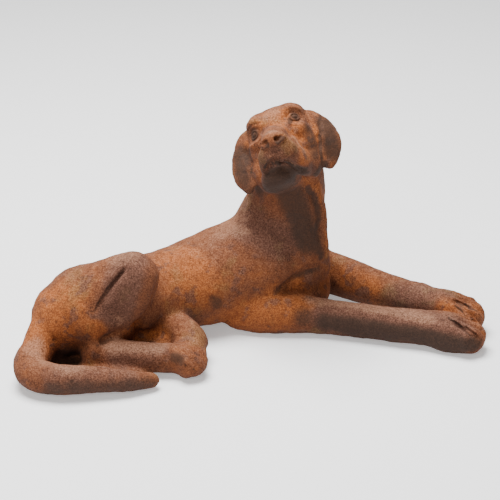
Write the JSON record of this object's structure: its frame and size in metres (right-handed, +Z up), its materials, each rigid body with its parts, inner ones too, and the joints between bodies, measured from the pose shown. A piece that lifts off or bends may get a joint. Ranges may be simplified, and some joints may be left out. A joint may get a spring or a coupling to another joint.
{
  "type": "reclining hound statue",
  "caption": "Life-size cast iron garden statue of a hound lying down with its head raised and turned, forelegs stretched out and tail curled round.",
  "frame": {"origin": "middle of the bounding box's footprint, on the ground under the statue", "axes": "+X from the curled tail towards the forepaws, -Y the side that the hound turns its head to, +Z up"},
  "size_m": [0.92, 0.5462, 0.4632],
  "materials": {
    "iron": "fully rusted and weathered, matt, orange-brown to purple-brown, with dark speckle"
  },
  "bodies": {
    "root": {"reclining_hound": "iron"}
  },
  "joints": []
}
